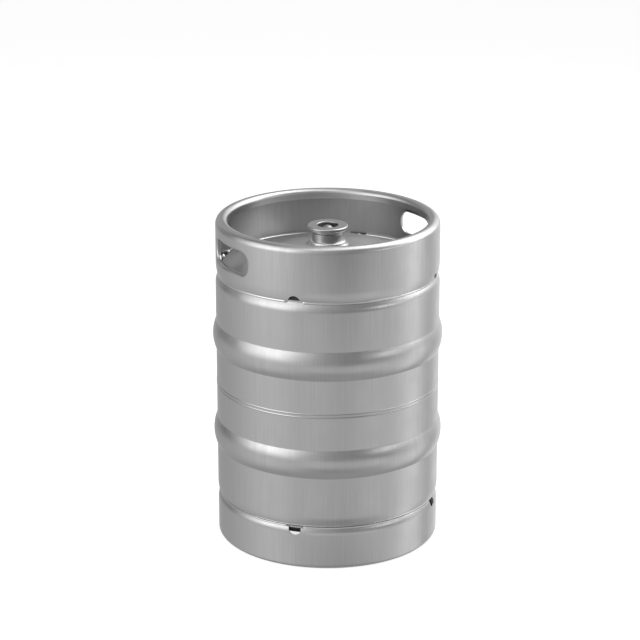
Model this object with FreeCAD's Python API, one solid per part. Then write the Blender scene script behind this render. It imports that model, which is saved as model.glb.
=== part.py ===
import FreeCAD, Part
import math
import os

# A stainless steel beer keg: two drawn shells joined by a girth weld, a top chime with hand holes,
# a bottom chime to stand on, and a screw-in valve fitting with its spring-loaded down tube.
# Millimetres. The origin is on the floor under the keg's axis, +Z is up and -Y is the front.

# Tank
body_radius = 199.0  # outside of the cylindrical wall
shell_wall = 1.5
upper_wall_length = 186.0  # from the girth seam to where the shoulder starts
lower_wall_length = 189.0  # from the girth seam to where the lower tuck starts
spigot_step = 5.8  # how far the ends of the tank, under the chimes, stand in from its wall
spigot_length = 4.5
shoulder_radius = 24.0
shoulder_angle = 30.0  # degrees from upright
tuck_radius = 70.0
tuck_angle = 15.0
joggle_angle = 60.0
joggle_rounding = 2.0
shoulder_rounding = 6.0
knuckle_radius = 11.0
head_slope = 18.0  # degrees, the conical stretch between knuckle and crown
head_rise = 45.0  # from the end of the spigot to the flat crown
crown_radius = 240.0

# Rolling hoops, pressed out of the wall
hoop_offset = 90.0  # from the girth seam to the middle of a hoop
hoop_half_width = 26.5
hoop_rise = 6.0
hoop_crease_radius = 4.0

# Girth weld
seam_gap = 3.0
seam_cap_width = 5.2
seam_cap_rise = 0.6

# Chimes, the protective collars at both ends
chime_wall = 2.0
chime_step = 0.5  # how far a chime stands back from the tank's wall
collar_depth = 98.0  # from the collar's welded edge to the crown of the rim
foot_depth = 75.5  # from the floor to the foot's welded edge
chime_edge_gap = 2.6  # between a chime's welded edge and the step in the tank behind it
rim_outer_radius = 12.0
rim_inner_radius = 9.0
rim_lip_depth = 18.0
foot_outer_radius = 7.0
foot_flat_width = 6.0
foot_inner_radius = 6.0
foot_lip_height = 16.0
foot_bead_radius = 2.9
collar_bead_radius = 3.4
chime_bead_inset = 0.6

# Drain notches in the welded edges of both chimes
notch_count = 4
notch_azimuth = -17.0  # degrees from the front, towards +X
notch_radius = 11.0
collar_notch_height = 10.0
foot_notch_height = 13.5

# Hand holes in the top chime
hand_hole_azimuth = -62.0
hand_hole_width = 120.0
hand_hole_height = 40.0
hand_hole_corner = 18.0
hand_hole_drop = 48.5  # from the rim's crown to the middle of the hole
hand_lip_wall = 2.4
hand_lip_depth = 7.0

# Neck, the threaded socket welded into the upper head
neck_radius = 27.5
neck_bore = 24.0
neck_above_head = 22.5
neck_rounding = 0.8
neck_below_head = 9.0
boss_rise = 3.5  # the head is drawn up round the neck
boss_radius = 35.5
boss_rounding = 1.8
neck_bead_radius = 3.9
neck_bead_offset = 1.3  # from the corner of neck and boss to the middle of the bead

# Valve fitting, screwed into the neck
gasket_thickness = 1.4
gasket_step_back = 0.7  # how far the gasket stands in from the neck
collar_radius = 29.4
valve_collar_height = 4.6
collar_inner_rounding = 0.8
collar_edge_rounding = 1.4
flange_radius = 36.0
flange_thickness = 7.0
flange_rounding = 2.4
flange_under_rounding = 2.2
opening_radius = 18.7
opening_rounding = 1.5
lip_thickness = 3.2
barrel_wall = 2.0
barrel_length = 71.0  # below the flange's top
thread_clearance = 0.2
wrench_notch_azimuth = 38.0
wrench_notch_width = 4.6
wrench_notch_depth = 2.4
wrench_notch_height = 3.0
gas_window_count = 4
gas_window_azimuth = 45.0
gas_window_width = 13.0
gas_window_height = 12.0
gas_window_corner = 3.0
gas_window_floor = 6.0

# Moving valve parts
face_clearance = 0.1
seal_side_gap = 0.9
seal_thickness = 5.0
seal_mouth = 9.3
seal_dish_radius = 13.5
seal_dish_depth = 2.4
seal_dish_rounding = 1.2
seal_edge_rounding = 0.8
seal_foot_rounding = 0.6
cup_wall = 1.2
cup_step_back = 0.6  # how far the cup stands in from the seal
cup_rounding = 0.5
ball_radius = 11.0
ball_clearance = 0.25
ball_side_gap = 0.5
head_wall = 1.5
head_depth = 26.0
head_port = 6.4
head_floor_rounding = 1.0
head_base_rounding = 2.0
tube_radius = 7.95
tube_wall = 0.9
tube_socket_depth = 10.0
tube_socket_wall = 1.4
tube_socket_rounding = 0.8
tube_floor_gap = 9.0
retainer_thickness = 2.4
retainer_clearance = 0.1
bush_wall = 2.0
bush_drop = 4.5  # how far the bush reaches below the retainer
bush_rounding = 0.8
bush_flange = 1.8
bush_flange_thickness = 1.6
bush_flange_rounding = 0.5
running_clearance = 0.07
clip_thickness = 1.6
clip_width = 2.8
clip_groove_depth = 0.9
clip_opening = 34.0
clip_end_gap = 3.0
gas_wire = 2.4
gas_coil_gap = 1.0
gas_turns = 7
ball_wire = 0.9
ball_coil_radius = 6.2
ball_turns = 5
spring_end_gap = 0.25

# Places that follow from the sizes
spigot_radius = body_radius - spigot_step
shoulder_reach = shoulder_radius * math.tan(math.radians(shoulder_angle / 2))
shoulder_fall = (body_radius - spigot_radius) / math.tan(math.radians(shoulder_angle))
upper_step = upper_wall_length + shoulder_reach + shoulder_fall
tuck_reach = tuck_radius * math.tan(math.radians(tuck_angle / 2))
tuck_edge_radius = body_radius - tuck_reach * math.sin(math.radians(tuck_angle))
tuck_edge = lower_wall_length + tuck_reach * (1 + math.cos(math.radians(tuck_angle)))
lower_step = tuck_edge + (tuck_edge_radius - spigot_radius) / math.tan(math.radians(joggle_angle))
seam_height = foot_depth + chime_edge_gap + lower_step
collar_edge = seam_height + upper_step + chime_edge_gap
keg_height = collar_edge + collar_depth
head_height = seam_height + upper_step + spigot_length + head_rise
lower_head_height = seam_height - lower_step - spigot_length - head_rise
chime_radius = body_radius - chime_step
rim_edge_radius = chime_radius - rim_outer_radius - rim_inner_radius
neck_top = head_height + neck_above_head
collar_base = neck_top + gasket_thickness
flange_base = collar_base + valve_collar_height
flange_top = flange_base + flange_thickness
lip_base = flange_top - lip_thickness
barrel_radius = neck_bore - thread_clearance
chamber_radius = barrel_radius - barrel_wall
barrel_end = flange_top - barrel_length

origin = FreeCAD.Vector(0, 0, 0)
up = FreeCAD.Vector(0, 0, 1)
tiny = 0.01


def point(radius, height):
    return FreeCAD.Vector(radius, 0, height)


def unit(first, last):
    length = math.hypot(last[0] - first[0], last[1] - first[1])
    return ((last[0] - first[0]) / length, (last[1] - first[1]) / length)


def path_edges(path):
    """Edges through (radius, height, rounding) corners, each corner rounded by a tangent arc."""
    edges = []
    here = point(*path[0][:2])
    for before, corner, after in zip(path, path[1:], path[2:]):
        into = unit(before, corner)
        away = unit(corner, after)
        bend = math.acos(max(-1.0, min(1.0, into[0] * away[0] + into[1] * away[1])))
        rounding = corner[2]
        if rounding <= 0 or bend < 1e-6:
            edges.append((here, point(*corner[:2])))
            here = point(*corner[:2])
            continue
        reach = rounding * math.tan(bend / 2)
        start = point(corner[0] - into[0] * reach, corner[1] - into[1] * reach)
        end = point(corner[0] + away[0] * reach, corner[1] + away[1] * reach)
        to_centre = unit((0, 0), (away[0] - into[0], away[1] - into[1]))
        inset = rounding * (1 / math.cos(bend / 2) - 1)
        middle = point(corner[0] + to_centre[0] * inset, corner[1] + to_centre[1] * inset)
        edges.append((here, start))
        edges.append((start, middle, end))
        here = end
    edges.append((here, point(*path[-1][:2])))
    made = []
    for edge in edges:
        if len(edge) == 3:
            made.append(Part.Arc(*edge).toShape())
        elif edge[0].distanceToPoint(edge[1]) > 1e-5:
            made.append(Part.LineSegment(*edge).toShape())
    return made


def shifted(path, distance):
    """The same path moved sideways, to the left of its direction of travel."""
    ways = [unit(first, last) for first, last in zip(path, path[1:])]
    moved = []
    for index, corner in enumerate(path):
        into = ways[max(index - 1, 0)]
        away = ways[min(index, len(ways) - 1)]
        share = distance / (1 + into[0] * away[0] + into[1] * away[1])
        turns_left = into[0] * away[1] - into[1] * away[0] > 0
        rounding = corner[2] - distance if turns_left else corner[2] + distance
        moved.append((
            corner[0] - (into[1] + away[1]) * share,
            corner[1] + (into[0] + away[0]) * share,
            max(rounding, 0) if corner[2] > 0 else 0,
        ))
    return moved


def raised(path, rise):
    return [(radius, height + rise, rounding) for radius, height, rounding in path]


def closed_face(edges):
    first = edges[0].Vertexes[0].Point
    last = edges[-1].Vertexes[-1].Point
    if first.distanceToPoint(last) > 1e-5:
        edges = edges + [Part.LineSegment(last, first).toShape()]
    return Part.Face(Part.Wire(Part.__sortEdges__(edges)))


def turned(path):
    """A solid of revolution whose half section is the closed outline through the path's corners."""
    return closed_face(path_edges(path)).revolve(origin, up, 360)


def turned_sheet(path, wall):
    """A sheet of even thickness, to the left of the path's direction of travel, turned about +Z."""
    outer = path_edges(path)
    inner = path_edges(shifted(path, wall))
    first = Part.LineSegment(point(*path[0][:2]), inner[0].Vertexes[0].Point).toShape()
    last = Part.LineSegment(point(*path[-1][:2]), inner[-1].Vertexes[-1].Point).toShape()
    return closed_face(outer + [last] + inner + [first]).revolve(origin, up, 360)


def ring(inner, outer, low, high):
    return turned([(inner, low, 0), (outer, low, 0), (outer, high, 0), (inner, high, 0), (inner, low, 0)])


def bead(radius, height, size):
    return Part.makeTorus(radius, size, point(0, height), up)


def spring(coil_radius, wire_radius, low, high, turns):
    """A round wire wound as tilted half rings, each of which rises by half the pitch."""
    start = low + wire_radius + spring_end_gap
    rise = (high - low - 2 * (wire_radius + spring_end_gap)) / (2 * turns)
    halves = []
    for index in range(2 * turns):
        side = 1 - 2 * (index % 2)
        begin = point(side * coil_radius, start + index * rise)
        middle = point(0, start + (index + 0.5) * rise)
        axis = FreeCAD.Vector(side * rise, 0, 2 * coil_radius)
        section = Part.Face(Part.Wire(Part.makeCircle(wire_radius, begin, FreeCAD.Vector(0, 1, 0))))
        halves.append(section.revolve(middle, axis, 180))
    return halves[0].multiFuse(halves[1:]).Solids[0]


def keep(node, shape):
    shape.exportStep("parts/" + node + ".step")


# Tank shells. The paths run from the girth seam outwards, up the outside of the upper shell.
def hoop_path(middle):
    slope = 2 * math.atan(hoop_rise / hoop_half_width)
    crest_radius = hoop_half_width / math.sin(slope) - hoop_crease_radius
    foot = hoop_half_width - hoop_crease_radius * math.tan(slope / 2)
    peak = body_radius + foot * math.tan(slope)
    return [
        (body_radius, middle - foot, hoop_crease_radius),
        (peak, middle, crest_radius),
        (body_radius, middle + foot, hoop_crease_radius),
    ]


def head_path(step):
    """The spigot's end, the knuckle and the crown, beyond the step behind a chime's edge."""
    turn = math.radians(90 - head_slope)
    knuckle_corner = step + spigot_length + knuckle_radius * math.tan(turn / 2)
    crown = step + spigot_length + head_rise
    run = (crown - knuckle_corner) / math.tan(math.radians(head_slope))
    return [(spigot_radius, knuckle_corner, knuckle_radius), (spigot_radius - run, crown, crown_radius)]


def upper_shell_path():
    boss_top = upper_step + spigot_length + head_rise + boss_rise
    path = [(body_radius, seam_gap / 2, 0)]
    path += hoop_path(hoop_offset)
    path += [(body_radius, upper_wall_length + shoulder_reach, shoulder_radius)]
    path += [(spigot_radius, upper_step, shoulder_rounding)]
    path += head_path(upper_step)
    path += [(boss_radius + boss_rounding, boss_top - boss_rise, boss_rounding)]
    path += [(boss_radius - boss_rounding, boss_top, boss_rounding)]
    path += [(neck_radius, boss_top, 0)]
    return raised(path, seam_height)


def lower_shell_path():
    """Drawn upside down, from the girth seam towards the floor."""
    path = [(body_radius, seam_gap / 2, 0)]
    path += hoop_path(hoop_offset)
    path += [(body_radius, lower_wall_length + tuck_reach, tuck_radius)]
    path += [(tuck_edge_radius, tuck_edge, joggle_rounding)]
    path += [(spigot_radius, lower_step, joggle_rounding)]
    path += head_path(lower_step)
    path += [(0, lower_step + spigot_length + head_rise, 0)]
    return raised(path, seam_height)


def upside_down(shape):
    return shape.mirror(point(0, seam_height), up)


def upper_envelope():
    path = upper_shell_path()
    return turned(path + [(0, path[-1][1], 0), (0, path[0][1], 0), path[0]])


def lower_envelope():
    path = lower_shell_path()
    return upside_down(turned(path + [(0, path[0][1], 0), path[0]]))


def upper_shell():
    return turned_sheet(upper_shell_path(), shell_wall)


def lower_shell():
    return upside_down(turned_sheet(lower_shell_path(), shell_wall))


def girth_weld():
    half_cap = seam_cap_width / 2
    low_edge = point(body_radius, seam_height - half_cap)
    high_edge = point(body_radius, seam_height + half_cap)
    crest = point(body_radius + seam_cap_rise, seam_height)
    root = [
        (body_radius, seam_height + half_cap, 0),
        (body_radius, seam_height + seam_gap / 2, 0),
        (body_radius - shell_wall, seam_height + seam_gap / 2, 0),
        (body_radius - shell_wall, seam_height - seam_gap / 2, 0),
        (body_radius, seam_height - seam_gap / 2, 0),
        (body_radius, seam_height - half_cap, 0),
    ]
    outline = [Part.Arc(low_edge, crest, high_edge).toShape()] + path_edges(root)
    return closed_face(outline).revolve(origin, up, 360)


# Chimes. Both paths start at the welded edge and run away from the tank.
def top_chime_path():
    angle = math.radians(tuck_angle)
    path = [(chime_radius - tuck_reach * math.sin(angle), collar_edge, 0)]
    path += [(chime_radius, collar_edge + tuck_reach * math.cos(angle), tuck_radius)]
    path += [(chime_radius, keg_height, rim_outer_radius)]
    path += [(rim_edge_radius, keg_height, rim_inner_radius)]
    path += [(rim_edge_radius, keg_height - rim_lip_depth, 0)]
    return path


def bottom_chime_path():
    """Drawn upside down above the seam, so its floor is as far up as the real one is down."""
    floor = 2 * seam_height
    edge = floor - foot_depth
    angle = math.radians(shoulder_angle)
    foot_edge = chime_radius - foot_outer_radius - foot_flat_width - foot_inner_radius
    path = [(chime_radius - shoulder_reach * math.sin(angle), edge, 0)]
    path += [(chime_radius, edge + shoulder_reach * math.cos(angle), shoulder_radius)]
    path += [(chime_radius, floor, foot_outer_radius)]
    path += [(foot_edge, floor, foot_inner_radius)]
    path += [(foot_edge, floor - foot_lip_height, 0)]
    return path


def radial_slot(azimuth, middle_height, width, height, corner, start, end):
    """A rounded bar pointing outwards at an azimuth, between two distances from the axis."""
    half = width / 2
    rise = height / 2
    shape = Part.makeBox(width, end - start, height, FreeCAD.Vector(-half, -end, -rise))
    along = [edge for edge in shape.Edges if abs(edge.tangentAt(edge.FirstParameter).y) > 0.9]
    shape = shape.makeFillet(min(corner, rise - tiny, half - tiny), along)
    shape.rotate(origin, up, azimuth)
    shape.translate(point(0, middle_height))
    return shape


def notch_azimuths():
    return [notch_azimuth + index * 360 / notch_count for index in range(notch_count)]


def notches(low, high):
    start = chime_radius - 2 * notch_radius
    end = chime_radius + notch_radius
    middle = (low + high) / 2
    return [
        radial_slot(azimuth, middle, 2 * notch_radius, high - low, notch_radius, start, end)
        for azimuth in notch_azimuths()
    ]


def collar_notches():
    return notches(collar_edge - 2 * notch_radius, collar_edge + collar_notch_height)


def foot_notches():
    return notches(foot_depth - foot_notch_height, foot_depth + 2 * notch_radius)


def hand_holes(growth):
    width = hand_hole_width + 2 * growth
    height = hand_hole_height + 2 * growth
    return [
        radial_slot(azimuth, keg_height - hand_hole_drop, width, height, hand_hole_corner + growth,
                    chime_radius / 2, chime_radius + notch_radius)
        for azimuth in (hand_hole_azimuth, hand_hole_azimuth + 180)
    ]


def top_chime():
    chime = turned_sheet(top_chime_path(), chime_wall)
    wide = keg_height - hand_hole_drop + hand_hole_height
    low = keg_height - hand_hole_drop - hand_hole_height
    band = ring(chime_radius - hand_lip_depth, chime_radius, low, wide)
    for hole in hand_holes(hand_lip_wall):
        chime = chime.fuse(band.common(hole))
    chime = chime.cut(hand_holes(0))
    chime = chime.cut(collar_notches())
    return chime.removeSplitter()


def bottom_chime():
    return upside_down(turned_sheet(bottom_chime_path(), chime_wall)).cut(foot_notches())


def top_chime_weld(chime, envelope):
    """The bead lies in the groove between the collar and the head's knuckle."""
    centre = chime_radius - chime_wall - collar_bead_radius + chime_bead_inset
    reach = knuckle_radius + collar_bead_radius - chime_bead_inset
    across = centre - spigot_radius + knuckle_radius
    height = seam_height + upper_step + spigot_length + math.sqrt(reach ** 2 - across ** 2)
    gaps = notches(collar_edge - 2 * notch_radius, collar_edge + 2 * notch_radius)
    return bead(centre, height, collar_bead_radius).cut([envelope, chime] + gaps)


def bottom_chime_weld(chime, envelope):
    radius = bottom_chime_path()[0][0]
    centre = radius - chime_wall - chime_bead_inset
    shape = bead(centre, foot_depth + chime_edge_gap / 2, foot_bead_radius)
    return shape.cut([envelope, chime] + foot_notches())


# Neck
def neck():
    low = head_height - neck_below_head
    return turned([
        (neck_bore, low, 0),
        (neck_radius, low, 0),
        (neck_radius, neck_top, neck_rounding),
        (neck_bore, neck_top, 0),
        (neck_bore, low, 0),
    ])


def neck_weld(envelope):
    low = head_height - neck_below_head
    height = head_height + boss_rise + neck_bead_offset
    shape = bead(neck_radius + neck_bead_offset, height, neck_bead_radius)
    tube = Part.makeCylinder(neck_radius, neck_top - low, point(0, low))
    return shape.cut([envelope, tube])


# Valve fitting
def valve_body():
    shape = turned([
        (opening_radius, lip_base, 0),
        (opening_radius, flange_top, opening_rounding),
        (flange_radius, flange_top, flange_rounding),
        (flange_radius, flange_base, flange_under_rounding),
        (collar_radius, flange_base, collar_inner_rounding),
        (collar_radius, collar_base, collar_edge_rounding),
        (barrel_radius, collar_base, 0),
        (barrel_radius, barrel_end, 0),
        (chamber_radius, barrel_end, 0),
        (chamber_radius, lip_base, 0),
        (opening_radius, lip_base, 0),
    ])
    notch = Part.makeBox(
        wrench_notch_width,
        opening_radius + wrench_notch_depth,
        2 * wrench_notch_height,
        FreeCAD.Vector(-wrench_notch_width / 2, -opening_radius - wrench_notch_depth,
                       flange_top - wrench_notch_height),
    )
    notch.rotate(origin, up, wrench_notch_azimuth)
    window_middle = barrel_end + retainer_seat() + gas_window_floor + gas_window_height / 2
    windows = [
        radial_slot(gas_window_azimuth + index * 360 / gas_window_count, window_middle, gas_window_width,
                    gas_window_height, gas_window_corner, chamber_radius / 2, 2 * barrel_radius)
        for index in range(gas_window_count)
    ]
    groove = ring(chamber_radius - clip_groove_depth, chamber_radius + clip_groove_depth,
                  barrel_end + clip_end_gap, barrel_end + clip_end_gap + clip_thickness + face_clearance)
    return shape.cut([notch, groove] + windows)


def retainer_seat():
    """The top face of the spring retainer, above the barrel's end."""
    return clip_end_gap + clip_thickness + face_clearance + retainer_thickness


def neck_gasket():
    return ring(barrel_radius + thread_clearance, neck_radius - gasket_step_back, neck_top, collar_base)


def spring_retainer():
    low = barrel_end + retainer_seat() - retainer_thickness
    hole = bush_radius()
    return ring(hole, chamber_radius - retainer_clearance, low, low + retainer_thickness)


def retaining_clip():
    low = barrel_end + clip_end_gap + face_clearance / 2
    outer = chamber_radius + clip_groove_depth - face_clearance
    shape = ring(outer - clip_width, outer, low, low + clip_thickness)
    gap = Part.makeBox(2 * outer * math.sin(math.radians(clip_opening / 2)), 2 * outer, 4 * clip_thickness)
    gap.translate(FreeCAD.Vector(-outer * math.sin(math.radians(clip_opening / 2)), -2 * outer,
                                 low - clip_thickness))
    return shape.cut(gap)


def bush_radius():
    return tube_radius + running_clearance + bush_wall


def guide_bush():
    seat = barrel_end + retainer_seat()
    low = seat - retainer_thickness - bush_drop
    bore = tube_radius + running_clearance
    wide = bush_radius() + bush_flange
    return turned([
        (bore, low, 0),
        (bush_radius(), low, bush_rounding),
        (bush_radius(), seat, 0),
        (wide, seat, 0),
        (wide, seat + bush_flange_thickness, bush_flange_rounding),
        (bore, seat + bush_flange_thickness, 0),
        (bore, low, 0),
    ])


# Moving valve parts
seal_top = lip_base - face_clearance
seal_base = seal_top - seal_thickness
cup_base = seal_base - cup_wall
seal_radius = chamber_radius - seal_side_gap
mouth_height = seal_top - seal_dish_depth
ball_centre = mouth_height - math.sqrt((ball_radius + ball_clearance) ** 2 - seal_mouth ** 2)
head_bore = ball_radius + ball_side_gap
head_radius = head_bore + head_wall
head_floor = cup_base - head_depth
tube_top = head_floor - head_wall


def valve_seal():
    return turned([
        (seal_mouth, mouth_height, 0),
        (seal_dish_radius, seal_top, seal_dish_rounding),
        (seal_radius, seal_top, seal_edge_rounding),
        (seal_radius, seal_base, seal_foot_rounding),
        (head_bore, seal_base, 0),
        (seal_mouth, mouth_height, 0),
    ])


def seal_cup():
    cup_radius = seal_radius - cup_step_back
    return turned([
        (head_bore, seal_base, 0),
        (head_bore, cup_base, 0),
        (cup_radius, cup_base, cup_rounding),
        (cup_radius, seal_base, 0),
        (head_bore, seal_base, 0),
    ])


def tube_head():
    socket = tube_radius + tube_socket_wall
    return turned([
        (head_bore, cup_base, 0),
        (head_bore, head_floor, head_floor_rounding),
        (head_port, head_floor, 0),
        (head_port, tube_top, 0),
        (tube_radius, tube_top, 0),
        (tube_radius, tube_top - tube_socket_depth, 0),
        (socket, tube_top - tube_socket_depth, 0),
        (socket, tube_top, tube_socket_rounding),
        (head_radius, tube_top, head_base_rounding),
        (head_radius, cup_base, 0),
        (head_bore, cup_base, 0),
    ])


def down_tube():
    low = lower_head_height + shell_wall + tube_floor_gap
    return ring(tube_radius - tube_wall, tube_radius, low, tube_top)


def valve_ball():
    return Part.makeSphere(ball_radius, point(0, ball_centre))


def gas_spring():
    coil = seal_radius - gas_coil_gap - gas_wire / 2
    return spring(coil, gas_wire / 2, barrel_end + retainer_seat(), cup_base, gas_turns)


def ball_spring():
    touch = ball_centre - math.sqrt(ball_radius ** 2 - ball_coil_radius ** 2)
    return spring(ball_coil_radius, ball_wire / 2, head_floor, touch, ball_turns)


os.makedirs("parts", exist_ok=True)
upper = upper_envelope()
lower = lower_envelope()
top = top_chime()
bottom = bottom_chime()
keep("upper_shell", upper_shell())
keep("lower_shell", lower_shell())
keep("girth_weld", girth_weld())
keep("top_chime", top)
keep("bottom_chime", bottom)
keep("top_chime_weld", top_chime_weld(top, upper))
keep("bottom_chime_weld", bottom_chime_weld(bottom, lower))
keep("neck", neck())
keep("neck_weld", neck_weld(upper))
keep("valve_body", valve_body())
keep("neck_gasket", neck_gasket())
keep("spring_retainer", spring_retainer())
keep("retaining_clip", retaining_clip())
keep("guide_bush", guide_bush())
keep("valve_seal", valve_seal())
keep("seal_cup", seal_cup())
keep("tube_head", tube_head())
keep("down_tube", down_tube())
keep("valve_ball", valve_ball())
keep("gas_spring", gas_spring())
keep("ball_spring", ball_spring())
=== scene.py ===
import math
import bpy
import numpy as np
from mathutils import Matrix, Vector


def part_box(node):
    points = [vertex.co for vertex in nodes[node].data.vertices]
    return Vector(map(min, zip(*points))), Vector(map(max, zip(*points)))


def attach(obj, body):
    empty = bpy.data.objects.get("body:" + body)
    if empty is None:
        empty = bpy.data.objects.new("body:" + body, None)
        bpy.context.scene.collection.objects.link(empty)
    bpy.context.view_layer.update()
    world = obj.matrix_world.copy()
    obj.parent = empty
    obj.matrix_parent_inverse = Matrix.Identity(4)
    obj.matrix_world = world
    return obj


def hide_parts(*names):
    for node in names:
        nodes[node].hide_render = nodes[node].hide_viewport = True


# A brushed stainless steel keg. Surfaces are computed in millimetres and written in metres.
# Azimuths are in degrees from the front (-Y) towards +X.

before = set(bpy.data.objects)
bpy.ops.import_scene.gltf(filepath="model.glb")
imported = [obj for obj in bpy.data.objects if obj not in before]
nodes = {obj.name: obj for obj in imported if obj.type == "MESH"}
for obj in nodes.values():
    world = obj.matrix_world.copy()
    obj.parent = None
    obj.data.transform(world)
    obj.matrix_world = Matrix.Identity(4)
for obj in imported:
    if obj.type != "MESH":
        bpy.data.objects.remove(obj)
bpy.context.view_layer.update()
mm = 0.001


def heights(node):
    low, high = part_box(node)
    return low.z / mm, high.z / mm


# An outline from corners (radius, height, rounding): straight runs joined by tangent arcs. An arc of radius
# R at a corner that turns by b starts R tan(b / 2) before the corner, and its centre is R / cos(b / 2) away.
# Short rows beside each arc keep the long runs flat in shading.
# chord is how far an arc's facets may stand off it, guard the width of a short row, rows extra heights.
def roundedPath(corners, chord=0.015, guard=0.7, rows=()):
    runs = [np.array([corners[0][:2]], float)]
    for before, corner, after in zip(corners, corners[1:], corners[2:]):
        here = np.array(corner[:2], float)
        into = here - np.array(before[:2], float)
        away = np.array(after[:2], float) - here
        into /= np.hypot(*into)
        away /= np.hypot(*away)
        bend = math.acos(np.clip(into @ away, -1, 1))
        if corner[2] <= 0 or bend < 1e-6:
            runs.append(here[None])
            continue
        side = math.copysign(1, into[0] * away[1] - into[1] * away[0])
        centre = here + (away - into) / np.hypot(*(away - into)) * corner[2] / math.cos(bend / 2)
        start = here - into * corner[2] * math.tan(bend / 2) - centre
        count = max(3, math.ceil(bend / (2 * math.acos(1 - chord / corner[2]))))
        turn = side * np.linspace(0, bend, count + 1)
        cos, sin = np.cos(turn), np.sin(turn)
        runs.append(centre + np.stack([start[0] * cos - start[1] * sin,
                                       start[0] * sin + start[1] * cos], 1))
    runs.append(np.array([corners[-1][:2]], float))
    points = np.vstack(runs)
    apart = np.r_[True, np.hypot(*np.diff(points, axis=0).T) > 1e-3]
    points = points[apart]
    length = np.r_[0, np.cumsum(np.hypot(*np.diff(points, axis=0).T))]
    wide = np.diff(length) > 3 * guard
    rise = int(points[:, 1].argmax()) + 1
    added = np.interp(rows, points[:rise, 1], length[:rise]) if len(rows) else []
    places = np.sort(np.r_[length, length[:-1][wide] + guard, length[1:][wide] - guard, added])
    places = places[np.r_[True, np.diff(places) > 0.05]]
    return np.stack([np.interp(places, length, points[:, 0]), np.interp(places, length, points[:, 1])], 1)


# One mesh from arrays: points, faces with three or four corners, and each point's length round (around)
# and along the outline (along), which become the map that the grain follows. A lap is one full turn.
def writeMesh(name, points, faces, around, along, lap, kinds=None):
    mesh = bpy.data.meshes.new(name)
    faces = [np.asarray(part, int) for part in faces if len(part)]
    loops = np.concatenate([part.ravel() for part in faces])
    totals = np.concatenate([np.full(len(part), part.shape[1]) for part in faces])
    mesh.vertices.add(len(points))
    mesh.vertices.foreach_set("co", (points * mm).astype(np.float32).ravel())
    mesh.loops.add(len(loops))
    mesh.loops.foreach_set("vertex_index", loops)
    mesh.polygons.add(len(totals))
    mesh.polygons.foreach_set("loop_start", np.r_[0, np.cumsum(totals)[:-1]])
    mesh.polygons.foreach_set("use_smooth", np.ones(len(totals), bool))
    if kinds is not None:
        mesh.polygons.foreach_set("material_index", np.concatenate(kinds).astype(np.int32))
    turns = [around[part] for part in faces]
    turns = [np.where(turn < turn.max(1, keepdims=True) - lap / 2, turn + lap, turn) for turn in turns]
    u = np.concatenate([turn.ravel() for turn in turns])
    layer = mesh.uv_layers.new(name="grain")
    layer.data.foreach_set("uv", (np.stack([u, along[loops]], 1) * mm).astype(np.float32).ravel())
    mesh.update(calc_edges=True)
    mesh.validate()
    piece = bpy.data.objects.new(name, mesh)
    bpy.context.scene.collection.objects.link(piece)
    return piece


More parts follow.
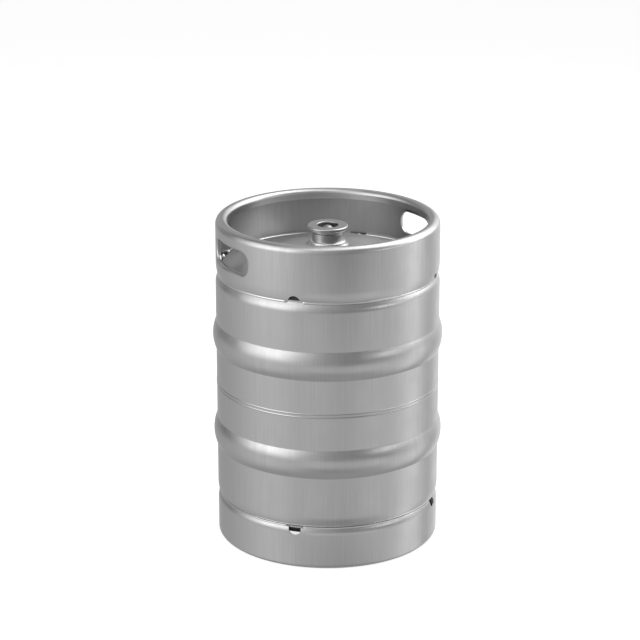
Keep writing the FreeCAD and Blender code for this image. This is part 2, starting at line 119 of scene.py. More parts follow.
# A path of (radius, height) rows turned round +Z: x = r sin(a), y = -r cos(a), z = base + way * height.
# Each patch cuts an opening: the regular grid round it is joined to the opening's outline by rings.
def turnedSheet(name, path, base=0.0, way=1, columns=360, patches=(), kindOf=None):
    rows = len(path)
    radius, height = path.T
    length = np.r_[0, np.cumsum(np.hypot(*np.diff(path, axis=0).T))]
    lap = 2 * math.pi * radius.max()
    step = 2 * math.pi / columns
    azimuth = np.arange(columns) * 2 * math.pi / columns
    turn, place = np.meshgrid(azimuth, radius)
    closed = radius[-1] < 1e-6
    level = np.repeat(height[:, None], columns, 1)
    points = np.stack([place * np.sin(turn), -place * np.cos(turn), level], 2).reshape(-1, 3)
    around = (turn * radius.max()).ravel()
    along = np.repeat(length, columns)
    grid = np.arange(rows * columns).reshape(rows, columns)
    kept = np.ones((rows - 1, columns), bool)
    right = np.roll(grid, -1, 1)
    quads = np.stack([grid[:-1], right[:-1], right[1:], grid[1:]], 2)
    kinds = np.zeros((rows - 1, columns), int)
    if kindOf is not None:
        kinds[:] = kindOf((height[:-1] + height[1:]) / 2)[:, None]
    tris = np.zeros((0, 3), int)
    if closed:
        kept[-1] = False
        pole = len(points) - columns
        points, around, along = points[:pole + 1], around[:pole + 1], along[:pole + 1]
        tris = np.stack([grid[-2], right[-2], np.full(columns, pole)], 1)
    rise = int(height.argmax()) + 1
    added = []
    for patch in patches:
        centre = math.radians(patch["azimuth"])
        half = patch["reach"] / radius.max()
        first = math.floor((centre - half) / step)
        last = math.ceil((centre + half) / step)
        span = np.arange(first, last + 1)
        low = max(0, int(np.searchsorted(height[:rise], patch["low"], "right")) - 1)
        high = int(np.abs(height[:rise - 1] - patch["high"]).argmin())
        kept[low:high, span[:-1] % columns] = False
        side = np.arange(low, high + 1)
        if patch["closed"]:
            loopRows = np.concatenate([np.full(len(span), low), side[1:],
                                       np.full(len(span) - 1, high), side[::-1][1:-1]])
            loopColumns = np.concatenate([span, np.full(len(side) - 1, last),
                                          span[::-1][1:], np.full(len(side) - 2, first)])
        else:
            loopRows = np.concatenate([side, np.full(len(span) - 2, high), side[::-1]])[::-1]
            loopColumns = np.concatenate([np.full(len(side), first), span[1:-1],
                                          np.full(len(side), last)])[::-1]
        edge = grid[loopRows, loopColumns % columns]
        offset = loopColumns * step - centre
        x = radius[loopRows] * np.sin(offset)
        h = height[loopRows]
        rings = patch["rings"](x, h)
        before = edge
        for x, h, depth in rings:
            r = np.interp(h, height[:rise], radius[:rise]) - depth
            y = np.sqrt(r * r - x * x)
            made = np.stack([x * math.cos(centre) + y * math.sin(centre),
                             x * math.sin(centre) - y * math.cos(centre), h], 1)
            new = np.arange(len(made)) + len(points)
            points = np.vstack([points, made])
            around = np.r_[around, (np.arcsin(x / r) + centre) * radius.max()]
            along = np.r_[along, np.interp(h, height[:rise], length[:rise]) - depth]
            ends = slice(None) if patch["closed"] else slice(None, -1)
            added.append(np.stack([before, np.roll(before, -1), np.roll(new, -1), new], 1)[ends])
            before = new
    poleKind = kindOf(height[-1:])[0] if kindOf else 0
    kinds = [kinds[kept], np.zeros(sum(len(a) for a in added), int), np.full(len(tris), poleKind)]
    quads = np.vstack([quads[kept]] + added)
    if way < 0:
        quads, tris = quads[:, ::-1], tris[:, ::-1]
    points = points * [1, 1, way] + [0, 0, base]
    return writeMesh(name, points, [quads, tris], around % lap, along, lap, kinds)


# A hole with rounded corners: each grid point joins the nearest outline point, then the sheet rolls inwards
# through a quarter turn: beside = roll (1 - sin t), depth = roll (1 - cos t), and runs straight to the lip.
def handHole(azimuth, middle, width, height, corner, roll, lip, margin, flat=0.6):
    def rings(x, h):
        coreX = np.clip(x, -width / 2 + corner, width / 2 - corner)
        coreH = np.clip(h - middle, -height / 2 + corner, height / 2 - corner)
        away = np.stack([x - coreX, h - middle - coreH])
        away /= np.hypot(*away)

        def beside(distance, depth):
            reach = corner + distance
            return coreX + away[0] * reach, middle + coreH + away[1] * reach, depth

        wide = beside(roll + flat, 0)
        made = [(wide[0] + (x - wide[0]) * w, wide[1] + (h - wide[1]) * w, 0) for w in (0.66, 0.33, 0)]
        turn = np.radians(np.linspace(0, 90, 8))
        made += [beside(roll * (1 - math.sin(t)), roll * (1 - math.cos(t))) for t in turn]
        made += [beside(0, roll + flat), beside(0, lip)]
        return made
    return {"azimuth": azimuth, "reach": width / 2 + margin, "low": middle - height / 2 - margin,
            "high": middle + height / 2 + margin, "closed": True, "rings": rings}


# A round notch in the welded edge: x = radius cos(t), h = depth - radius + radius sin(t), from edge to edge.
def edgeNotch(azimuth, radius, depth, margin):
    def rings(x, h):
        centre = depth - radius
        angle = np.arctan2(h - centre, x)
        angle = np.where(angle < -math.pi / 2, angle + 2 * math.pi, angle)
        start = math.asin(-centre / radius)
        share = (angle - angle[0]) / (angle[-1] - angle[0])
        turn = start + share * (math.pi - 2 * start)
        nearX, nearH = radius * np.cos(turn), centre + radius * np.sin(turn)
        nearH[[0, -1]] = 0
        return [(nearX + (x - nearX) * w, nearH + (h - nearH) * w, 0) for w in (0.75, 0.5, 0.25, 0.06, 0)]
    return {"azimuth": azimuth, "reach": radius + margin, "low": 0, "high": depth + margin,
            "closed": False, "rings": rings}


# Round bars bent round +Z between two azimuths: r = radius + s cos(u), z = height + s sin(u). Both ends of
# each close like a drop of weld metal, as s = size * sqrt(1 - (1 - run / size)^2) over the last stretch.
def weldBeads(name, rings, spans, step=1.0, sides=20):
    allPoints, quads, tris, around, along = [], [], [], [], []
    count = 0
    for radius, height, size in rings:
        for start, stop in spans:
            arc = np.radians(np.linspace(start, stop, int((stop - start) / step) + 1))
            run = radius * (arc - arc[0])
            end = np.minimum(run, run[-1] - run)
            small = size * np.sqrt(np.clip(1 - np.clip(1 - end / size, 0, 1) ** 2, 0, 1))[1:-1]
            turn = np.linspace(0, 2 * math.pi, sides, endpoint=False)
            r = radius + small[:, None] * np.cos(turn)
            z = height + small[:, None] * np.sin(turn)
            a = np.repeat(arc[1:-1, None], sides, 1)
            body = np.stack([r * np.sin(a), -r * np.cos(a), z], 2).reshape(-1, 3)
            tips = np.array([[radius * math.sin(t), -radius * math.cos(t), height] for t in arc[[0, -1]]])
            allPoints += [body, tips]
            grid = np.arange(len(body)).reshape(-1, sides) + count
            up = np.roll(grid, -1, 1)
            quads.append(np.stack([grid[:-1], grid[1:], up[1:], up[:-1]], 2).reshape(-1, 4))
            first, last = count + len(body), count + len(body) + 1
            tris.append(np.stack([grid[0], up[0], np.full(sides, first)], 1))
            tris.append(np.stack([up[-1], grid[-1], np.full(sides, last)], 1))
            around += [np.repeat(run[1:-1], sides), np.array([0, run[-1]])]
            along += [np.tile(turn * size, len(arc) - 2), np.zeros(2)]
            count += len(body) + 2
    points = np.vstack(allPoints)
    noLap = 1e9  # a bead never comes full circle
    return writeMesh(name, points, [np.vstack(quads), np.vstack(tris)], np.concatenate(around),
                     np.concatenate(along), noLap)


# Gives a sheet its wall inwards, and rounds its sharp edges where an edge radius is set.
def giveWall(piece, wall, edge=0.35):
    sheet = piece.modifiers.new("Wall", "SOLIDIFY")
    sheet.thickness = wall * mm
    sheet.offset = -1
    sheet.use_even_offset = False
    sheet.use_quality_normals = True
    if edge:
        bevel = piece.modifiers.new("Edge", "BEVEL")
        bevel.width = edge * mm
        bevel.segments = 2
        bevel.limit_method = "ANGLE"
        bevel.angle_limit = math.radians(40)
        bevel.harden_normals = True


def linear(code):
    parts = [int(code[i:i + 2], 16) / 255 for i in (1, 3, 5)]
    return tuple(c / 12.92 if c <= 0.04045 else ((c + 0.055) / 1.055) ** 2.4 for c in parts) + (1.0,)


def addNode(tree, kind, values=None, links=None, **settings):
    node = tree.nodes.new(kind)
    for key, value in settings.items():
        setattr(node, key, value)
    for key, value in (values or {}).items():
        node.inputs[key].default_value = value
    for key, source in (links or {}).items():
        tree.links.new(source, node.inputs[key])
    return node


def newMaterial(name):
    material = bpy.data.materials.new(name)
    material.use_nodes = True
    tree = material.node_tree
    shader = tree.nodes["Principled BSDF"]
    return material, tree, shader


# Ground steel sheet. Fine and broad scratches follow the grain map, in millimetres across and along, and are
# drawn coarser than the real belt's grit so that they show. Soft clouds change the sheen here and there.
def brushedSteel(name, finish):
    material, tree, shader = newMaterial(name)
    uv = addNode(tree, "ShaderNodeUVMap", uv_map="grain")
    fineScale = (1 / mm / finish["fine"][0], 1 / mm / finish["fine"][1], 1)
    fine = addNode(tree, "ShaderNodeMapping", {"Scale": fineScale}, {"Vector": uv.outputs[0]})
    fineNoise = addNode(tree, "ShaderNodeTexNoise", {"Scale": 1, "Detail": 3, "Roughness": 0.6},
                        {"Vector": fine.outputs[0]})
    broadScale = (1 / mm / finish["broad"][0], 1 / mm / finish["broad"][1], 1)
    broad = addNode(tree, "ShaderNodeMapping", {"Scale": broadScale}, {"Vector": uv.outputs[0]})
    broadNoise = addNode(tree, "ShaderNodeTexNoise", {"Scale": 1, "Detail": 2}, {"Vector": broad.outputs[0]})
    place = addNode(tree, "ShaderNodeTexCoord")
    cloudNoise = addNode(tree, "ShaderNodeTexNoise",
                         {"Scale": 1 / mm / finish["cloud"], "Detail": 3, "Roughness": 0.55},
                         {"Vector": place.outputs["Object"]})
    streak = addNode(tree, "ShaderNodeMath", {1: 0.5}, {0: fineNoise.outputs["Fac"]}, operation="MULTIPLY")
    both = addNode(tree, "ShaderNodeMath", {1: 0.5}, {0: broadNoise.outputs["Fac"], 2: streak.outputs[0]},
                   operation="MULTIPLY_ADD")
    contrast = addNode(tree, "ShaderNodeMapRange", {"From Min": 0.32, "From Max": 0.68},
                       {"Value": both.outputs[0]})
    tone = addNode(tree, "ShaderNodeMix", {"A": linear(finish["dark"]), "B": linear(finish["light"])},
                   {"Factor": contrast.outputs[0]}, data_type="RGBA")
    mottle = addNode(tree, "ShaderNodeMapRange",
                     {"From Min": 0.3, "From Max": 0.7,
                      "To Min": -finish["mottle"], "To Max": finish["mottle"]},
                     {"Value": cloudNoise.outputs["Fac"]})
    rough = addNode(tree, "ShaderNodeMapRange",
                    {"From Min": 0.3, "From Max": 0.7, "To Min": finish["roughness"] + finish["streak"],
                     "To Max": finish["roughness"] - finish["streak"]}, {"Value": both.outputs[0]})
    sheen = addNode(tree, "ShaderNodeMath", {}, {0: rough.outputs[0], 1: mottle.outputs[0]}, operation="ADD")
    tree.links.new(tone.outputs["Result"], shader.inputs["Base Color"])
    tree.links.new(sheen.outputs[0], shader.inputs["Roughness"])
    relief = addNode(tree, "ShaderNodeBump", {"Strength": finish["relief"], "Distance": 0.04 * mm},
                     {"Height": both.outputs[0]})
    tree.links.new(relief.outputs[0], shader.inputs["Normal"])
    tangent = addNode(tree, "ShaderNodeTangent", direction_type="UV_MAP", uv_map="grain")
    tree.links.new(tangent.outputs[0], shader.inputs["Tangent"])
    shader.inputs["Metallic"].default_value = 1
    shader.inputs["Anisotropic"].default_value = finish["stretch"]
    return material


def plainMaterial(name, colour, roughness, metallic=0.0):
    material, tree, shader = newMaterial(name)
    shader.inputs["Base Color"].default_value = linear(colour)
    shader.inputs["Roughness"].default_value = roughness
    shader.inputs["Metallic"].default_value = metallic
    return material


# Roughness, its change along the scratches and in the clouds; scratch sizes and cloud size in millimetres.
steels = {
    "shell": {"light": "#C9C9C9", "dark": "#BCBCBC", "roughness": 0.34, "streak": 0.03, "mottle": 0.045,
              "fine": (0.4, 60), "broad": (1.5, 120), "cloud": 45, "relief": 0.2, "stretch": 0.5},
    "head": {"light": "#CFCFCF", "dark": "#C5C5C5", "roughness": 0.36, "streak": 0.02, "mottle": 0.04,
             "fine": (8, 0.6), "broad": (40, 4), "cloud": 40, "relief": 0.2, "stretch": 0.1},
    "chime": {"light": "#C9C9C9", "dark": "#BCBCBC", "roughness": 0.33, "streak": 0.03, "mottle": 0.045,
              "fine": (0.4, 60), "broad": (1.5, 120), "cloud": 40, "relief": 0.2, "stretch": 0.5},
    "inside": {"light": "#A9A9A9", "dark": "#9C9C9C", "roughness": 0.36, "streak": 0.03, "mottle": 0.05,
               "fine": (0.4, 60), "broad": (1.5, 120), "cloud": 40, "relief": 0.2, "stretch": 0.5},
}
# Stainless steel 304, belt-ground upright: satin, with highlights drawn out round the keg.
shellSteel = brushedSteel("brushed_304_shell", steels["shell"])
# The same steel as deep-drawn into a head: an even, soft sheen with faint rings, in a lighter grey than the
# tank's wall, which is painted light for the head down inside the collar.
headSteel = brushedSteel("drawn_304_head_lightened", steels["head"])
# Rolled and belt-ground chimes: a little brighter in the highlights than the tank.
chimeSteel = brushedSteel("brushed_304_chime", steels["chime"])
# The collar's inner side, a little rougher than the chime steel and darker: the darker grey is painted shade
# for the inside of the collar and the foot.
insideSteel = brushedSteel("shaded_304_inside", steels["inside"])
# TIG weld metal: smooth and bright, with sharp small highlights.
weldSteel = plainMaterial("tig_weld_304", "#E2E2E2", 0.28, 1.0)
# The girth weld, rolled flat after welding: close to the wall's own grey.
capSteel = plainMaterial("rolled_weld_cap_304", "#C2C2C2", 0.3, 1.0)
# Painted shadow: a dark band on the tank just beyond each chime's step, standing in for the shade in the gap
# under the chime's edge; it only shows through the notches.
tintSteel = plainMaterial("painted_shadow_band", "#403F3E", 0.5, 1.0)
# Turned valve fitting: smooth, with crisp light on its edges.
valveSteel = plainMaterial("machined_304_valve", "#C4C4C4", 0.3, 1.0)
# Cold-drawn tube: slightly shinier than the turned pieces.
tubeSteel = plainMaterial("drawn_304_tube", "#BFBFBF", 0.25, 1.0)
# The ball, dulled by couplers' probes: a grey, soft highlight.
ballSteel = plainMaterial("worn_steel_ball", "#A6A6A6", 0.4, 1.0)
# Stainless steel 302 wire, drawn and coiled: a warm grey.
springSteel = plainMaterial("drawn_302_spring_wire", "#B4B2AE", 0.3, 1.0)
# Moulded nitrile rubber: black, with next to no shine.
sealRubber = plainMaterial("moulded_nitrile_seal", "#0F0F0F", 0.6)
sealRubber.node_tree.nodes["Principled BSDF"].inputs["Specular IOR Level"].default_value = 0.25
# Turned acetal: off-white, faintly waxy.
bushPlastic = plainMaterial("turned_acetal_bush", "#E4E1D8", 0.45)
print("materials made")

# The tank's outline from the girth seam to both ends, in millimetres and degrees. zoneHead and the next key
# are how far beyond the step under a chime the head's finish and the end of the dark band lie; the band is
# painted shadow for the gap under the chime.
tank = {
    "radius": 199.0, "wall": 1.5, "upperWall": 186.0, "lowerWall": 189.0, "seamGap": 3.0,
    "hoopOffset": 90.0, "hoopHalf": 26.5, "hoopRise": 6.0, "hoopCrease": 4.0,
    "spigot": 193.2, "spigotLength": 4.5, "shoulder": 24.0, "shoulderAngle": 30.0, "shoulderRounding": 6.0,
    "tuck": 70.0, "tuckAngle": 15.0, "joggleAngle": 60.0, "joggleRounding": 2.0,
    "knuckle": 11.0, "headSlope": 18.0, "headRise": 45.0, "crown": 240.0,
    "boss": 35.5, "bossRise": 3.5, "bossRounding": 1.8, "neck": 27.5,
    "zoneHead": 4.0, "zoneShadowEnd": 14.0, "columns": 264,
}
seam = sum(heights("girth_weld")) / 2


# A rolling hoop: a creased foot at each side of one crest arc, which rises hoopRise over the wall.
def hoopCorners():
    slope = 2 * math.atan(tank["hoopRise"] / tank["hoopHalf"])
    foot = tank["hoopHalf"] - tank["hoopCrease"] * math.tan(slope / 2)
    middle = tank["hoopOffset"]
    crest = tank["hoopHalf"] / math.sin(slope) - tank["hoopCrease"]
    return [(tank["radius"], middle - foot, tank["hoopCrease"]),
            (tank["radius"] + foot * math.tan(slope), middle, crest),
            (tank["radius"], middle + foot, tank["hoopCrease"])]


# A head beyond the step under its chime: the knuckle, a sloping stretch, and the crown that levels it off.
def headCorners(step):
    turn = math.radians(90 - tank["headSlope"])
    knuckle = step + tank["spigotLength"] + tank["knuckle"] * math.tan(turn / 2)
    crown = step + tank["spigotLength"] + tank["headRise"]
    run = (crown - knuckle) / math.tan(math.radians(tank["headSlope"]))
    return [(tank["spigot"], knuckle, tank["knuckle"]), (tank["spigot"] - run, crown, tank["crown"])]


wallStart = [(tank["radius"], tank["seamGap"] / 2, 0)] + hoopCorners()
shoulderReach = tank["shoulder"] * math.tan(math.radians(tank["shoulderAngle"] / 2))
upperStep = (tank["upperWall"] + shoulderReach
             + (tank["radius"] - tank["spigot"]) / math.tan(math.radians(tank["shoulderAngle"])))
tuckReach = tank["tuck"] * math.tan(math.radians(tank["tuckAngle"] / 2))
tuckEdge = (tank["radius"] - tuckReach * math.sin(math.radians(tank["tuckAngle"])),
            tank["lowerWall"] + tuckReach * (1 + math.cos(math.radians(tank["tuckAngle"]))))
lowerStep = tuckEdge[1] + (tuckEdge[0] - tank["spigot"]) / math.tan(math.radians(tank["joggleAngle"]))
bossTop = upperStep + tank["spigotLength"] + tank["headRise"] + tank["bossRise"]
upperCorners = [
    *wallStart,
    (tank["radius"], tank["upperWall"] + shoulderReach, tank["shoulder"]),
    (tank["spigot"], upperStep, tank["shoulderRounding"]),
    *headCorners(upperStep),
    (tank["boss"] + tank["bossRounding"], bossTop - tank["bossRise"], tank["bossRounding"]),
    (tank["boss"] - tank["bossRounding"], bossTop, tank["bossRounding"]),
    (tank["neck"], bossTop, 0),
]
lowerCorners = [
    *wallStart,
    (tank["radius"], tank["lowerWall"] + tuckReach, tank["tuck"]),
    (*tuckEdge, tank["joggleRounding"]),
    (tank["spigot"], lowerStep, tank["joggleRounding"]),
    *headCorners(lowerStep),
    (0, lowerStep + tank["spigotLength"] + tank["headRise"], 0),
]


def tankShell(name, node, corners, way, step):
    # Finish 2, the dark band, is painted shadow for the gap under each chime.
    def finishAt(h):  # 0 wall, 1 head, 2 tinted band, as the materials are appended
        return np.where(h < step + tank["zoneHead"], 0, np.where(h < step + tank["zoneShadowEnd"], 2, 1))

    piece = turnedSheet(name, roundedPath(corners), seam, way, columns=tank["columns"], kindOf=finishAt)
    for material in (shellSteel, headSteel, tintSteel):
        piece.data.materials.append(material)
    giveWall(piece, tank["wall"], 0)
    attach(piece, "keg")
    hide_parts(node)


tankShell("tank_upper_half", "upper_shell", upperCorners, 1, upperStep)
tankShell("tank_lower_half", "lower_shell", lowerCorners, -1, lowerStep)

# Two low ridges along the seam: rise = lift + ridge * exp(-((|height| - ridgeAt) / ridgeHalf)^2).
seamCap = {"half": 4.2, "lift": 0.05, "ridge": 0.52, "ridgeAt": 2.9, "ridgeHalf": 0.8, "root": 1.4,
           "wall": 0.8, "rows": 43}
capHeight = np.linspace(-seamCap["half"], seamCap["half"], seamCap["rows"])
fromRidge = (np.abs(capHeight) - seamCap["ridgeAt"]) / seamCap["ridgeHalf"]
capRise = seamCap["lift"] + seamCap["ridge"] * np.exp(-fromRidge ** 2)
capPath = np.vstack([[(tank["radius"] - seamCap["root"], -seamCap["half"])],
                     np.stack([tank["radius"] + capRise, capHeight], 1),
                     [(tank["radius"] - seamCap["root"], seamCap["half"])]])
girth = turnedSheet("girth_weld_cap", capPath, seam)
girth.data.materials.append(capSteel)
giveWall(girth, seamCap["wall"], 0)
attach(girth, "keg")
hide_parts("girth_weld")
print("tank made")

# Both chimes: the collar from its welded edge up over the rolled rim, and the foot from its welded edge down.
# The margins are how far the regular grid stays clear of a hole or a notch, and the rows are the first and
# last height and the number of even rows beyond the notches.
chime = {
    "radius": 198.5, "wall": 2.0, "rimOuter": 12.0, "rimInner": 9.0, "rimLip": 18.0,
    "footOuter": 7.0, "footFlat": 6.0, "footInner": 6.0, "footLip": 16.0,
    "notches": 4, "notchAzimuth": -17.0, "notchRadius": 11.0, "collarNotch": 10.0, "footNotch": 13.5,
    "holeAzimuth": -62.0, "holeWidth": 119.0, "holeHeight": 40.0, "holeCorner": 18.0, "holeDrop": 48.5,
    "holeRoll": 5.4, "holeLip": 7.4, "holeMargin": 11.0, "holeRows": 15,
    "collarNotchMargin": 8.0, "footNotchMargin": 9.0,
    "collarNotchRows": (20, 26, 3), "footNotchRows": (14, 26, 5),
}
collarEdge, rimTop = heights("top_chime")
footEdge = heights("bottom_chime")[1]
collarDepth = rimTop - collarEdge
slant = math.radians(tank["tuckAngle"])
rimEdge = chime["radius"] - chime["rimOuter"] - chime["rimInner"]
collarCorners = [(chime["radius"] - tuckReach * math.sin(slant), 0, 0),
                 (chime["radius"], tuckReach * math.cos(slant), tank["tuck"]),
                 (chime["radius"], collarDepth, chime["rimOuter"]),
                 (rimEdge, collarDepth, chime["rimInner"]),
                 (rimEdge, collarDepth - chime["rimLip"], 0)]
slant = math.radians(tank["shoulderAngle"])
lipRadius = chime["radius"] - chime["footOuter"] - chime["footFlat"] - chime["footInner"]
footCorners = [(chime["radius"] - shoulderReach * math.sin(slant), 0, 0),
               (chime["radius"], shoulderReach * math.cos(slant), tank["shoulder"]),
               (chime["radius"], footEdge, chime["footOuter"]),
               (lipRadius, footEdge, chime["footInner"]),
               (lipRadius, footEdge - chime["footLip"], 0)]
notchPlaces = [chime["notchAzimuth"] + i * 360 / chime["notches"] for i in range(chime["notches"])]
holeMiddle = collarDepth - chime["holeDrop"]
holes = [handHole(chime["holeAzimuth"] + i * 180, holeMiddle, chime["holeWidth"], chime["holeHeight"],
                  chime["holeCorner"], chime["holeRoll"], chime["holeLip"], chime["holeMargin"])
         for i in range(2)]
holeReach = chime["holeHeight"] / 2 + chime["holeMargin"]
holeRows = np.linspace(holeMiddle - holeReach, holeMiddle + holeReach, chime["holeRows"])
collarRows = np.r_[np.linspace(*chime["collarNotchRows"]), holeRows]
footRows = np.linspace(*chime["footNotchRows"])


def chimeRing(name, node, corners, base, way, rows, patches):
    piece = turnedSheet(name, roundedPath(corners, rows=rows), base, way, patches=patches)
    piece.data.materials.append(chimeSteel)
    # The second material is the darker steel: painted shade on the chimes' inner side.
    piece.data.materials.append(insideSteel)
    giveWall(piece, chime["wall"])
    piece.modifiers["Wall"].material_offset = 1  # the wall's inner side takes the second material
    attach(piece, "keg")
    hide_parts(node)


collarNotches = [edgeNotch(a, chime["notchRadius"], chime["collarNotch"], chime["collarNotchMargin"])
                 for a in notchPlaces]
footNotches = [edgeNotch(a, chime["notchRadius"], chime["footNotch"], chime["footNotchMargin"])
               for a in notchPlaces]
chimeRing("collar_with_hand_holes", "top_chime", collarCorners, collarEdge, 1, collarRows,
          collarNotches + holes)
chimeRing("foot_ring", "bottom_chime", footCorners, footEdge, -1, footRows, footNotches)

# Radii of the weld beads, how far they sink into the chime, the gap at its edge, and the degrees that they
# keep clear of a notch.
bead = {"footSize": 2.9, "rootSize": 2.9, "collarSize": 3.4, "inset": 0.6, "gap": 2.6, "clear": 0.4}


def chimeBead(name, node, rings):
    half = math.degrees(chime["notchRadius"] / chime["radius"]) + bead["clear"]
    spans = [(a + half, a + 360 / chime["notches"] - half) for a in notchPlaces]
    piece = weldBeads(name, rings, spans)
    piece.data.materials.append(weldSteel)
    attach(piece, "keg")
    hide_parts(node)


# The collar has a root run under its edge, and a bead in the groove between collar and head.
grooveRadius = chime["radius"] - chime["wall"] - bead["collarSize"] + bead["inset"]
grooveReach = tank["knuckle"] + bead["collarSize"] - bead["inset"]
grooveSide = grooveRadius - tank["spigot"] + tank["knuckle"]
grooveHeight = seam + upperStep + tank["spigotLength"] + math.sqrt(grooveReach ** 2 - grooveSide ** 2)
rootRadius = collarCorners[0][0] - chime["wall"] - bead["inset"]
footRadius = footCorners[0][0] - chime["wall"] - bead["inset"]
chimeBead("collar_fillet_weld", "top_chime_weld",
          [(grooveRadius, grooveHeight, bead["collarSize"]),
           (rootRadius, collarEdge - bead["gap"] / 2, bead["rootSize"])])
chimeBead("foot_fillet_weld", "bottom_chime_weld",
          [(footRadius, footEdge + bead["gap"] / 2, bead["footSize"])])
print("chimes made")

# The valve's pieces keep their solids and only get their finish.
finishes = {
    "neck": valveSteel, "neck_weld": weldSteel, "neck_gasket": sealRubber, "valve_body": valveSteel,
    "spring_retainer": valveSteel, "retaining_clip": springSteel, "guide_bush": bushPlastic,
    "valve_seal": sealRubber, "seal_cup": valveSteel, "tube_head": tubeSteel, "down_tube": tubeSteel,
    "valve_ball": ballSteel, "gas_spring": springSteel, "ball_spring": springSteel,
}
for node, material in finishes.items():
    nodes[node].data.materials.clear()
    nodes[node].data.materials.append(material)
print("valve finished")

# The studio that the steel mirrors: grey levels all round the keg, as azimuth and level, for reflections that
# leave a little downwards (low) and upwards (high), and one level for those that go steeply down (ground).
# The blends are heights on a unit sphere of directions. peak is the ramps' white, fill lights matt surfaces.
studio = {
    "low": [(-180, 0.9), (-150, 0.5), (-132, 0.5), (-112, 0.54), (-88, 0.68), (-68, 0.8), (-45, 0.76),
            (-18, 0.42), (8, 0.22), (28, 0.24), (50, 0.48), (70, 0.7), (86, 0.95), (101, 1.3), (126, 0.35),
            (146, 1.15), (180, 0.9)],
    "high": [(-180, 0.4), (-145, 0.5), (-125, 0.15), (-105, 0.3), (-85, 0.5), (-55, 0.35), (-25, 0.6),
             (0, 0.38), (30, 0.25), (60, 0.35), (90, 0.6), (120, 0.6), (150, 1.0), (180, 0.4)],
    "ground": 0.44, "lowToHigh": (-0.25, -0.05), "lowToGround": (-0.55, -0.8),
    "peak": 1.4, "fill": 0.45, "backdrop": 1.0,
}
world = bpy.data.worlds.new("studio")
bpy.context.scene.world = world
world.use_nodes = True
sky = world.node_tree
sky.nodes.clear()
direction = addNode(sky, "ShaderNodeTexCoord")
parts = addNode(sky, "ShaderNodeSeparateXYZ", {}, {0: direction.outputs["Generated"]})
front = addNode(sky, "ShaderNodeMath", {1: -1.0}, {0: parts.outputs["Y"]}, operation="MULTIPLY")
angle = addNode(sky, "ShaderNodeMath", {}, {0: parts.outputs["X"], 1: front.outputs[0]}, operation="ARCTAN2")
share = addNode(sky, "ShaderNodeMapRange", {"From Min": -math.pi, "From Max": math.pi},
                {"Value": angle.outputs[0]})


def studioBlend(limits):
    return addNode(sky, "ShaderNodeMapRange", {"From Min": limits[0], "From Max": limits[1]},
                   {"Value": parts.outputs["Z"]}, interpolation_type="SMOOTHSTEP")


def studioRamp(stops):
    node = addNode(sky, "ShaderNodeValToRGB", {}, {0: share.outputs[0]})
    ramp = node.color_ramp
    ramp.interpolation = "CARDINAL"
    while len(ramp.elements) < len(stops):
        ramp.elements.new(0.5)
    for element, (place, level) in zip(ramp.elements, stops):
        element.position = (place + 180) / 360
        element.color = (level / studio["peak"],) * 3 + (1,)
    return node


lowRamp = studioRamp(studio["low"])
highRamp = studioRamp(studio["high"])
groundGrey = (studio["ground"] / studio["peak"],) * 3 + (1,)
toHigh = studioBlend(studio["lowToHigh"])
toGround = studioBlend(studio["lowToGround"])
below = addNode(sky, "ShaderNodeMix", {"B": groundGrey},
                {"Factor": toGround.outputs[0], "A": lowRamp.outputs["Color"]}, data_type="RGBA")
level = addNode(sky, "ShaderNodeMix", {},
                {"Factor": toHigh.outputs[0], "A": below.outputs["Result"], "B": highRamp.outputs["Color"]},
                data_type="RGBA")
mirror = addNode(sky, "ShaderNodeBackground", {"Strength": studio["peak"]},
                 {"Color": level.outputs["Result"]})
fill = addNode(sky, "ShaderNodeBackground", {"Color": (1, 1, 1, 1), "Strength": studio["fill"]})
white = addNode(sky, "ShaderNodeBackground", {"Color": (1, 1, 1, 1), "Strength": studio["backdrop"]})
rays = addNode(sky, "ShaderNodeLightPath")
shiny = addNode(sky, "ShaderNodeMath", {},
                {0: rays.outputs["Is Glossy Ray"], 1: rays.outputs["Is Transmission Ray"]},
                operation="MAXIMUM")
room = addNode(sky, "ShaderNodeMixShader", {},
               {0: shiny.outputs[0], 1: fill.outputs[0], 2: mirror.outputs[0]})
seen = addNode(sky, "ShaderNodeMixShader", {},
               {0: rays.outputs["Is Camera Ray"], 1: room.outputs[0], 2: white.outputs[0]})
addNode(sky, "ShaderNodeOutputWorld", {}, {0: seen.outputs[0]})

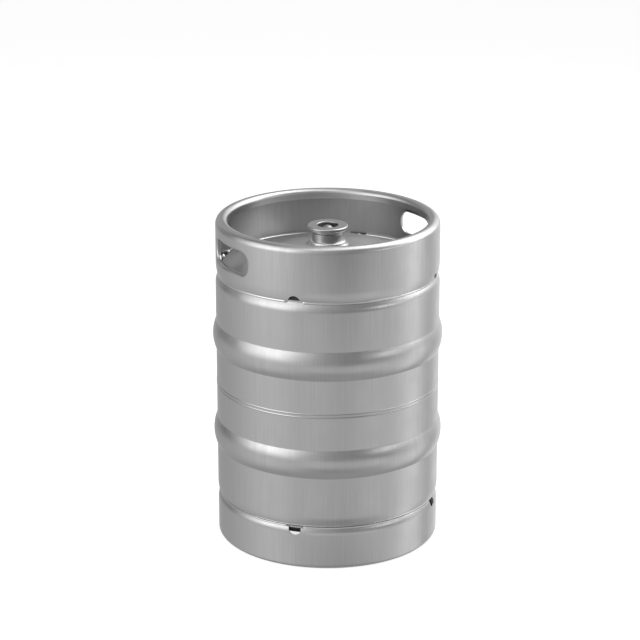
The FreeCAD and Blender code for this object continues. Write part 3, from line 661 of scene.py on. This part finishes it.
# Softboxes aimed at the keg: azimuth, elevation, distance, width and height (metres), radiance.
lamps = {
    "left_softbox": (-60, 24, 2.5, 2.6, 2.9, 0.95),
    "left_core": (-56, 20, 2.5, 1.5, 1.5, 0.8),
    "right_softbox": (112, 43, 2.5, 2.4, 2.8, 1.8),
    "right_strip": (94, 4, 2.5, 0.7, 1.3, 0.7),
    "front_right_strip": (60, 12, 2.5, 1.3, 0.5, 1.3),
    "front_low_panel": (16, -22, 1.6, 2.2, 0.7, 0.38),
    "top_panel": (45, 76, 2.5, 3.0, 1.2, 1.1),
}
aimHeight = 0.35
for name, (azimuth, elevation, distance, width, height, radiance) in lamps.items():
    lamp = bpy.data.lights.new(name, "AREA")
    lamp.shape = "RECTANGLE"
    lamp.size, lamp.size_y = width, height
    lamp.energy = radiance * math.pi * width * height  # watts that give this radiance
    holder = bpy.data.objects.new(name, lamp)
    bpy.context.scene.collection.objects.link(holder)
    a, e = math.radians(azimuth), math.radians(elevation)
    holder.location = (distance * math.cos(e) * math.sin(a), -distance * math.cos(e) * math.cos(a),
                       aimHeight + distance * math.sin(e))
    holder.rotation_euler = (math.radians(90 - elevation), 0, a)

# The floor shows white to the camera and keeps the keg's soft shadow. glow is what the camera sees on top of
# the lit paper.
paperFloor = {"reach": 30.0, "grey": 0.5, "glow": 0.72}
reach = paperFloor["reach"]
floorMesh = bpy.data.meshes.new("studio_floor")
floorMesh.from_pydata([(-reach, -reach, 0), (reach, -reach, 0), (reach, reach, 0), (-reach, reach, 0)],
                      [], [(0, 1, 2, 3)])
floor = bpy.data.objects.new("studio_floor", floorMesh)
bpy.context.scene.collection.objects.link(floor)
floor.visible_glossy = False
floor.visible_shadow = False
paper, paperTree, paperShader = newMaterial("studio_paper")
paperShader.inputs["Base Color"].default_value = (paperFloor["grey"],) * 3 + (1,)
paperShader.inputs["Roughness"].default_value = 1
paperShader.inputs["Emission Color"].default_value = (1, 1, 1, 1)
paperRays = addNode(paperTree, "ShaderNodeLightPath")
glow = addNode(paperTree, "ShaderNodeMath", {1: paperFloor["glow"]}, {0: paperRays.outputs["Is Camera Ray"]},
               operation="MULTIPLY")
paperTree.links.new(glow.outputs[0], paperShader.inputs["Emission Strength"])
floorMesh.materials.append(paper)

view = {"place": (0, -4.119, 1.771), "down": 18.45, "turn": 0.19, "lens": 136.7, "sensor": 36}
camera = bpy.data.cameras.new("view")
camera.lens = view["lens"]
camera.sensor_width = view["sensor"]
viewer = bpy.data.objects.new("view", camera)
bpy.context.scene.collection.objects.link(viewer)
viewer.location = view["place"]
viewer.rotation_euler = (math.radians(90 - view["down"]), 0, math.radians(view["turn"]))
bpy.context.scene.camera = viewer
bpy.context.scene.view_settings.view_transform = "Standard"
print("studio made")
